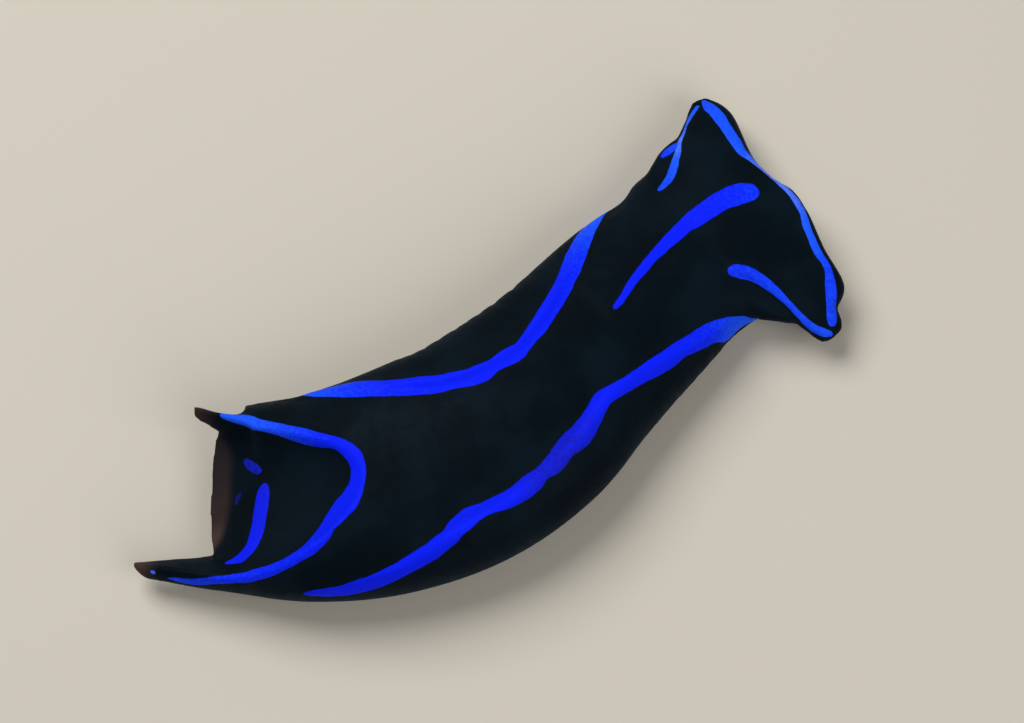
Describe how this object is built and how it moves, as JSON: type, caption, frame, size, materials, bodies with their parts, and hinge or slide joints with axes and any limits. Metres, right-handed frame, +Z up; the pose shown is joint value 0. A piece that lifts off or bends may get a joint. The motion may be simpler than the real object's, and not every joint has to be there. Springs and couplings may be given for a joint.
{
  "type": "blue velvet headshield slug",
  "caption": "Still life-size sea slug with a broad head shield, side flaps folded up over its back and pointed tail lobes, resting on its flat sole.",
  "frame": {"origin": "middle of the animal's box, on the floor it crawls on", "axes": "+Z up from the sole; +X is the way the bent body runs from tail to head, with the head turned towards +Y"},
  "size_m": [0.0454, 0.0344, 0.0076],
  "materials": {
    "skin": "soft, wet, velvety black skin with electric blue lines"
  },
  "bodies": {
    "root": {"head_shield": "skin", "head_lobe_left": "skin", "head_lobe_right": "skin", "head_shield_rear": "skin", "snout": "skin", "neck": "skin", "torso_front": "skin", "torso_rear": "skin", "parapodium_left_front": "skin", "parapodium_left_rear": "skin", "parapodium_right_front": "skin", "parapodium_right_rear": "skin", "foot_front": "skin", "foot_middle": "skin", "foot_rear": "skin", "tail_shield": "skin", "caudal_lobe_left": "skin", "caudal_lobe_right": "skin", "tail_web": "skin"}
  },
  "joints": []
}
